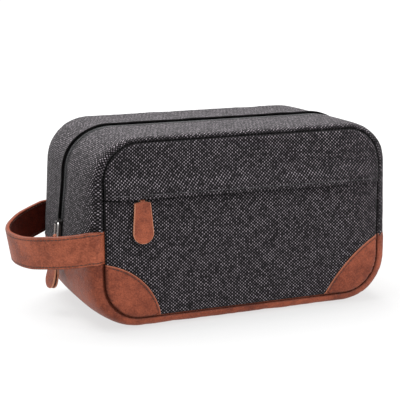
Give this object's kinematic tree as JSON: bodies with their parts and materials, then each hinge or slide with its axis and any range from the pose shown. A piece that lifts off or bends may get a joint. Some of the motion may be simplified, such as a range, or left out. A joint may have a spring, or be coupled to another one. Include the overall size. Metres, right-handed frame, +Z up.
{
  "type": "shaving kit bag",
  "caption": "Soft box-shaped canvas wash bag with a leather base and corner patches, a zipper over the top, a flap-covered front pocket and a side handle loop.",
  "frame": {"origin": "middle of the flat base face that the bag stands on", "axes": "+X along the bag away from the handle, -Y out of the front with the pocket, +Z up"},
  "size_m": [0.315, 0.1486, 0.153],
  "materials": {
    "canvas": "charcoal washed canvas, plain weave with light flecks",
    "leather": "tan brown waxed leather, fine grain, lighter worn edges",
    "leather_inside": "darker tan leather on the inside of the handle",
    "lining": "thin dark grey woven lining",
    "foam": "thin foam interlining",
    "board": "plain stiffener board",
    "zip_tape": "black herringbone woven tape",
    "zip_coil": "black nylon coil",
    "steel": "antique nickel plated zinc"
  },
  "bodies": {
    "bag": {"gusset_canvas_front": "canvas", "gusset_canvas_back": "canvas", "base_leather": "leather", "front_panel_lower": "canvas", "front_panel_flap": "canvas", "front_patch_left": "leather", "front_patch_right": "leather", "back_panel": "canvas", "back_patch_left": "leather", "back_patch_right": "leather", "front_padding": "foam", "back_padding": "foam", "pocket_backing": "lining", "front_lining": "lining", "back_lining": "lining", "gusset_lining_front": "lining", "gusset_lining_back": "lining", "base_lining": "lining", "base_stiffener": "board", "seam_binding_front": "zip_tape", "seam_binding_back": "zip_tape", "main_zip_tape_front": "zip_tape", "main_zip_tape_back": "zip_tape", "main_zip_coil_front": "zip_coil", "main_zip_coil_back": "zip_coil", "main_zip_top_stop": "steel", "main_zip_bottom_stop": "steel", "pocket_zip_tape_upper": "zip_tape", "pocket_zip_tape_lower": "zip_tape", "pocket_zip_coil_upper": "zip_coil", "pocket_zip_coil_lower": "zip_coil", "pocket_zip_stops": "steel", "handle_anchor_front": "leather", "handle_anchor_back": "leather"},
    "handle": {"handle_outer_layer": "leather", "handle_inner_layer": "leather_inside"},
    "main_slider_body": {"main_slider": "steel"},
    "main_bail_body": {"main_bail": "steel"},
    "main_tab_body": {"main_pull_tab": "leather"},
    "pocket_slider_body": {"pocket_slider": "steel"},
    "pocket_bail_body": {"pocket_bail": "steel"},
    "pocket_tab_body": {"pocket_pull_tab": "leather"}
  },
  "joints": [
    {"name": "handle_swing", "type": "hinge", "parent": "bag", "child": "handle", "pos_m": [-0.13, 0, 0.0682], "axis": [0, 1, 0], "range_deg": [-8, 30], "stiffness_Nm_per_rad": 0.35},
    {"name": "main_zip_slide", "type": "slide", "parent": "bag", "child": "main_slider_body", "axis": [0.1068, 0, 0.9943], "range_m": [0, 0.037]},
    {"name": "main_bail_swing", "type": "hinge", "parent": "main_slider_body", "child": "main_bail_body", "pos_m": [-0.13809, 0, 0.0759], "axis": [0, 1, 0], "range_deg": [0, 20]},
    {"name": "main_tab_swing", "type": "hinge", "parent": "main_bail_body", "child": "main_tab_body", "pos_m": [-0.13938, 0, 0.06397], "axis": [0, 1, 0], "range_deg": [0, 24]},
    {"name": "pocket_zip_slide", "type": "slide", "parent": "bag", "child": "pocket_slider_body", "axis": [1, 0, 0], "range_m": [-0.0065, 0.1855]},
    {"name": "pocket_bail_swing", "type": "hinge", "parent": "pocket_slider_body", "child": "pocket_bail_body", "pos_m": [-0.09, -0.07215, 0.1072], "axis": [-1, 0, 0], "range_deg": [0, 3]},
    {"name": "pocket_tab_swing", "type": "hinge", "parent": "pocket_bail_body", "child": "pocket_tab_body", "pos_m": [-0.09, -0.07215, 0.103], "axis": [-1, 0, 0], "range_deg": [0, 50]}
  ]
}
